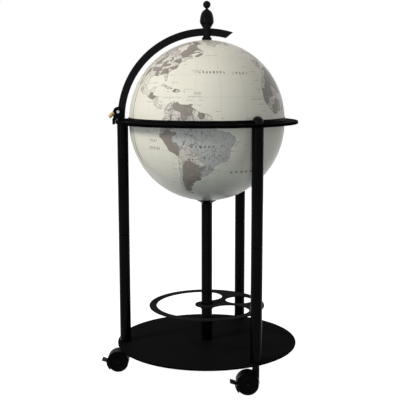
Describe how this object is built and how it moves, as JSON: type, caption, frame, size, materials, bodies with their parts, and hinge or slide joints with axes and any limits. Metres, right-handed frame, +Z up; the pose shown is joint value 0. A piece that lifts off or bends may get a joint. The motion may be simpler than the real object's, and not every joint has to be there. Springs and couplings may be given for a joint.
{
  "type": "floor globe bar",
  "caption": "Floor-standing globe bar: a printed globe that hinges open over a bottle tray, in a black tube stand with a bottle rack, base plate and braked swivel casters.",
  "frame": {"origin": "on the floor, under the globe's vertical axis", "axes": "+Z up along the globe's axis; the lid's hinge and one leg lie on -X, and the lid opens towards -X"},
  "size_m": [0.5192, 0.475, 0.9698],
  "materials": {
    "black_frame": "satin",
    "globe_print": "gloss",
    "black_trim": "satin",
    "tray_plastic": "satin",
    "bright_steel": "satin",
    "peg_wood": "satin",
    "caster_plastic": "satin",
    "caster_tread": "matte",
    "plug_plastic": "matte"
  },
  "bodies": {
    "stand": {"base_plate": "black_frame", "bottle_rack": "black_frame", "rack_collar": "black_frame", "rack_set_screw": "bright_steel", "centre_post": "black_frame", "post_foot_plug": "plug_plastic", "post_foot_bolt": "bright_steel", "leg_lower_left": "black_frame", "leg_lower_front": "black_frame", "leg_lower_back": "black_frame", "leg_upper_left": "black_frame", "leg_upper_front": "black_frame", "leg_upper_back": "black_frame", "leg_joint_studs": "bright_steel", "leg_foot_inserts": "plug_plastic", "leg_top_plugs": "plug_plastic", "caster_sockets": "black_frame", "horizon_ring": "black_frame", "leg_cap_front": "black_frame", "leg_cap_back": "black_frame", "hinge_bracket": "black_frame", "hinge_pin": "bright_steel", "bracket_screws": "bright_steel", "stop_peg": "peg_wood", "south_seat": "black_trim", "pivot_spindle": "bright_steel", "pivot_nut": "bright_steel"},
    "lower_globe": {"lower_shell": "globe_print", "lower_rim_band": "black_trim", "serving_tray": "tray_plastic", "bottle_well_1": "tray_plastic", "bottle_well_2": "tray_plastic", "bottle_well_3": "tray_plastic", "south_hub": "black_trim"},
    "meridian": {"meridian_arc": "black_frame", "finial": "black_frame", "pole_rod": "bright_steel", "pole_nut": "bright_steel"},
    "upper_globe": {"upper_shell": "globe_print", "upper_rim_band": "black_trim", "north_hub": "black_trim", "north_collar": "black_trim"},
    "caster_fork_left": {"caster_stem_left": "bright_steel", "caster_hood_left": "caster_plastic"},
    "caster_wheels_left": {"caster_axle_left": "bright_steel", "caster_wheel_a_left": "caster_tread", "caster_wheel_b_left": "caster_tread"},
    "caster_pedal_left": {"caster_brake_left": "caster_plastic"},
    "caster_fork_front": {"caster_stem_front": "bright_steel", "caster_hood_front": "caster_plastic"},
    "caster_wheels_front": {"caster_axle_front": "bright_steel", "caster_wheel_a_front": "caster_tread", "caster_wheel_b_front": "caster_tread"},
    "caster_pedal_front": {"caster_brake_front": "caster_plastic"},
    "caster_fork_back": {"caster_stem_back": "bright_steel", "caster_hood_back": "caster_plastic"},
    "caster_wheels_back": {"caster_axle_back": "bright_steel", "caster_wheel_a_back": "caster_tread", "caster_wheel_b_back": "caster_tread"},
    "caster_pedal_back": {"caster_brake_back": "caster_plastic"}
  },
  "joints": [
    {"name": "lid_hinge", "type": "hinge", "parent": "stand", "child": "meridian", "pos_m": [-0.228, 0, 0.691], "axis": [0, -1, 0], "range_deg": [0, 88]},
    {"name": "lid_spin", "type": "hinge", "parent": "meridian", "child": "upper_globe", "pos_m": [0, 0, 0.672], "axis": [0, 0, 1], "continuous": true},
    {"name": "bowl_spin", "type": "hinge", "parent": "stand", "child": "lower_globe", "pos_m": [0, 0, 0.66], "axis": [0, 0, 1], "continuous": true},
    {"name": "caster_swivel_left", "type": "hinge", "parent": "stand", "child": "caster_fork_left", "pos_m": [-0.217, 0, 0.0655], "axis": [0, 0, 1], "continuous": true},
    {"name": "caster_roll_left", "type": "hinge", "parent": "caster_fork_left", "child": "caster_wheels_left", "pos_m": [-0.23695, 0.00139, 0.0275], "axis": [-0.0698, -0.9976, 0], "continuous": true},
    {"name": "caster_lock_left", "type": "hinge", "parent": "caster_fork_left", "child": "caster_pedal_left", "pos_m": [-0.25782, 0.00285, 0.02567], "axis": [-0.0698, -0.9976, 0], "range_deg": [0, 7]},
    {"name": "caster_swivel_front", "type": "hinge", "parent": "stand", "child": "caster_fork_front", "pos_m": [0.1085, -0.18793, 0.0655], "axis": [0, 0, 1], "continuous": true},
    {"name": "caster_roll_front", "type": "hinge", "parent": "caster_fork_front", "child": "caster_wheels_front", "pos_m": [0.08855, -0.18653, 0.0275], "axis": [-0.0698, -0.9976, 0], "continuous": true},
    {"name": "caster_lock_front", "type": "hinge", "parent": "caster_fork_front", "child": "caster_pedal_front", "pos_m": [0.06768, -0.18507, 0.02567], "axis": [-0.0698, -0.9976, 0], "range_deg": [0, 7]},
    {"name": "caster_swivel_back", "type": "hinge", "parent": "stand", "child": "caster_fork_back", "pos_m": [0.1085, 0.18793, 0.0655], "axis": [0, 0, 1], "continuous": true},
    {"name": "caster_roll_back", "type": "hinge", "parent": "caster_fork_back", "child": "caster_wheels_back", "pos_m": [0.08855, 0.18932, 0.0275], "axis": [-0.0698, -0.9976, 0], "continuous": true},
    {"name": "caster_lock_back", "type": "hinge", "parent": "caster_fork_back", "child": "caster_pedal_back", "pos_m": [0.06768, 0.19078, 0.02567], "axis": [-0.0698, -0.9976, 0], "range_deg": [0, 7]}
  ]
}
